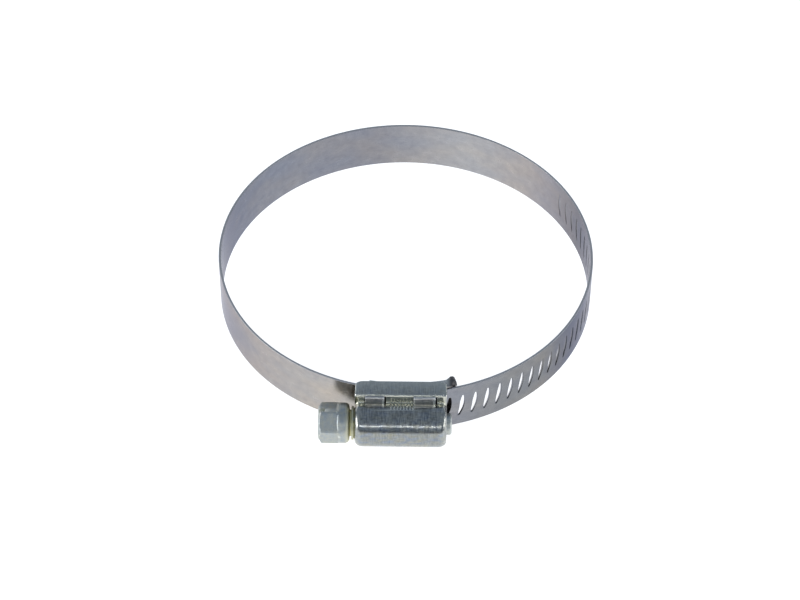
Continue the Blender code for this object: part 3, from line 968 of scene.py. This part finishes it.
def tip_rings():
    """The same from the worm's end to the tip's end face, with x in the clamp's own frame."""
    tip = [(8.2, CORE), (8.7, CORE), (8.8, CORE - 0.1), (8.85, TIP), (10.55, TIP), (10.8, TIP - 0.08)]
    tip += [(SCREW_HIGH.x - 0.08, TIP - 0.25), (SCREW_HIGH.x, TIP - 0.5)]
    return [(x, lambda angle, size=size: size) for x, size in tip]


def thread_profile():
    """(x, share of the thread's height) across one turn of the thread."""
    half = [(CREST_HALF, 1.0), (CREST_HALF + 0.06, 0.9), (FLANK_HALF - 0.06, 0.12), (FLANK_HALF, 0.0)]
    return [(-x, high) for x, high in reversed(half)] + half + [(SLOT_PITCH / 2, 0.0)]


def thread_height(turn):
    """Height of the thread after this many turns, as a share of its full height."""
    return smooth(min((turn - 0.1) / 0.5, (TURNS - 0.1 - turn) / 0.5))


def turned(x, angle, radius):
    """A point this far from the screw's axis."""
    turn = math.radians(angle)
    return (x, SCREW_Y + radius * math.cos(turn), radius * math.sin(turn))


def lathe_rows(rings):
    """Rows of points round the screw's axis."""
    return [[turned(x, angle, radius(angle)) for angle in SCREW_ANGLES] for x, radius in rings]


def worm_rows():
    """Rows of points round the worm, each one turn of a helix whose end meets a later row's start."""
    near_front = math.radians(slot_angles()[SLOTS_BEFORE - 3])
    first_crest = SLOTTED[0].x + (SLOT_DEPTH + SLOTTED[0].y) * math.sin(near_front) - 3 * SLOT_PITCH
    rows = []
    for turn, offset, high in [(k, *spot) for k in range(TURNS) for spot in thread_profile()][:-1]:
        shares = [turn + angle / 360.0 for angle in SCREW_ANGLES]
        places = [first_crest + offset + SLOT_PITCH * share for share in shares]
        radii = [CORE + high * thread_height(share) * (THREAD - CORE) for share in shares]
        rows.append([turned(*point) for point in zip(places, SCREW_ANGLES, radii)])
    return rows


def at(row, column):
    """Index of a point of the screw."""
    return row * SCREW_COLUMNS + column


def lathe_faces(first, last):
    """Faces between rows of points round the screw's axis."""
    faces = []
    for row in range(first, last):
        for k in range(SCREW_COLUMNS):
            after = (k + 1) % SCREW_COLUMNS
            faces.append((at(row, k), at(row, after), at(row + 1, after), at(row + 1, k)))
    return faces


def worm_faces(first, last):
    """Faces between the worm's rows, and between them and the plain rows on either side."""
    end, per_turn = SCREW_COLUMNS - 1, len(thread_profile())
    faces = []
    for row in range(first - 1, last + 1):
        for k in range(end):
            faces.append((at(row, k), at(row, k + 1), at(row + 1, k + 1), at(row + 1, k)))
    for row in range(first, last - per_turn):
        faces.append((at(row, end), at(row + per_turn, 0), at(row + per_turn + 1, 0), at(row + 1, end)))
    climb = [at(row, 0) for row in range(first - 1, first + per_turn + 1)]
    faces.append((at(first - 1, end), *climb, at(first, end)))
    descent = [at(row, end) for row in range(last - per_turn, last + 2)]
    faces.append((at(last, 0), *descent, at(last + 1, 0)))
    return faces


def build_screw(look):
    """Slotted hex head, collar, neck, right-hand worm and tip, turned as one piece."""
    head, worm, tip = lathe_rows(head_rings()), worm_rows(), lathe_rows(tip_rings())
    rows = head + worm + tip
    first, last = len(head), len(head) + len(worm) - 1
    faces = lathe_faces(0, first - 1) + worm_faces(first, last) + lathe_faces(last + 1, len(rows) - 1)
    faces += [tuple(at(row, k) for k in range(SCREW_COLUMNS)) for row in (0, len(rows) - 1)]
    screw = mesh_piece("hex_worm_screw", [point for row in rows for point in row], faces, look)
    half, across = DRIVER_SLOT[0] / 2, COLLAR + PAST
    low = (HEAD_LEFT - PAST, SCREW_Y - half, -across)
    high = (HEAD_LEFT + DRIVER_SLOT[1], SCREW_Y + half, across)
    combine(screw, block("groove", low, high, look), "DIFFERENCE")
    finished(screw, SCREW_EDGE, 40.0)
    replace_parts(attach(screw, "screw"), "worm_screw")


# ---------------------------------------------------------------- studio


def build_floor():
    """A large white light table."""
    made = Nodes("light_table")
    place = made.scaled(made.add("ShaderNodeTexCoord").outputs["Object"], (60.0, 60.0, 60.0))
    tone = made.ramp(made.noise(place, 1.0, 3.0), (0.3, (0.78, 0.78, 0.78)), (0.7, (0.81, 0.81, 0.81)))
    made.join(tone, made.shader.inputs["Base Color"])
    made.shader.inputs["Emission Color"].default_value = (1.0, 1.0, 1.0, 1.0)
    made.shader.inputs["Emission Strength"].default_value = TABLE_GLOW
    made.shader.inputs["Roughness"].default_value = 0.9
    made.shader.inputs["Specular IOR Level"].default_value = 0.1
    half, low = TABLE_HALF * MM, -TABLE_GAP * MM
    corners = [(-half, -half, low), (half, -half, low), (half, half, low), (-half, half, low)]
    mesh = bpy.data.meshes.new("table_top")
    mesh.from_pydata(corners, [], [(0, 1, 2, 3)])
    mesh.materials.append(made.material)
    floor = bpy.data.objects.new("table_top", mesh)
    bpy.context.scene.collection.objects.link(floor)


def soft_box(name, azimuth, elevation, distance, size, power):
    """A rectangular light that faces the clamp. Azimuth 0 is in front (-Y) and 90 at the right (+X).

    The distance and the size are in metres, and the power is in watts.
    """
    turn, rise = math.radians(azimuth), math.radians(elevation)
    away = Vector((math.sin(turn) * math.cos(rise), -math.cos(turn) * math.cos(rise), math.sin(rise)))
    light = bpy.data.lights.new(name, "AREA")
    light.shape = "RECTANGLE"
    light.size, light.size_y = size
    light.energy = power
    made = bpy.data.objects.new(name, light)
    made.location = ORIGIN * MM + away * distance
    made.rotation_euler = away.to_track_quat("Z", "Y").to_euler()
    bpy.context.scene.collection.objects.link(made)


def build_studio():
    """A dim cool room with low soft boxes at the sides, a thin one in front and a pale card behind."""
    world = bpy.data.worlds.new("room")
    bpy.context.scene.world = world
    world.use_nodes = True
    tree = world.node_tree
    background = tree.nodes["Background"]
    place = tree.nodes.new("ShaderNodeTexCoord")
    split = tree.nodes.new("ShaderNodeSeparateXYZ")
    ramp = tree.nodes.new("ShaderNodeValToRGB")
    ramp.color_ramp.elements[0].position = 0.0
    ramp.color_ramp.elements[0].color = ROOM_LOW
    ramp.color_ramp.elements[1].position = ROOM_CHANGE
    ramp.color_ramp.elements[1].color = ROOM_HIGH
    tree.links.new(place.outputs["Generated"], split.inputs["Vector"])
    tree.links.new(split.outputs["Z"], ramp.inputs["Fac"])
    tree.links.new(ramp.outputs["Color"], background.inputs["Color"])
    background.inputs["Strength"].default_value = 1.0
    soft_box("left_box", -78, 13, 1.1, (0.8, 0.30), 5.2)
    soft_box("right_box", 80, 13, 1.1, (0.8, 0.26), 2.2)
    soft_box("front_strip", 0, 32, 1.3, (1.6, 0.035), 1.9)
    soft_box("back_card", 180, 12, 1.3, (3.6, 0.45), 5.6)


def build_camera():
    """A long lens in front of the clamp and above it."""
    camera = bpy.data.objects.new("camera", bpy.data.cameras.new("camera"))
    rise = math.radians(CAMERA_ELEVATION)
    back = Vector((0.0, -math.cos(rise), math.sin(rise)))
    up = Vector((0.0, math.sin(rise), math.cos(rise)))
    right = Vector((1.0, 0.0, 0.0))
    spot = back * CAMERA_DISTANCE
    look = spot - right * CAMERA_AIM[0] - up * CAMERA_AIM[1]
    turned = look.to_track_quat("Z", "Y")
    camera.location = placed(spot)
    camera.rotation_euler = turned.to_euler()
    camera.rotation_euler.rotate_axis("Z", math.radians(CAMERA_ROLL))
    camera.data.lens = LENS
    camera.data.sensor_width = 36.0
    camera.data.clip_start = 0.01
    bpy.context.scene.collection.objects.link(camera)
    bpy.context.scene.camera = camera


bpy.context.scene.view_settings.view_transform = "Standard"
build_camera()
build_band(band_steel())
build_saddle(plain_steel())
build_housing(plated_zinc())
build_screw(screw_zinc())
build_floor()
build_studio()
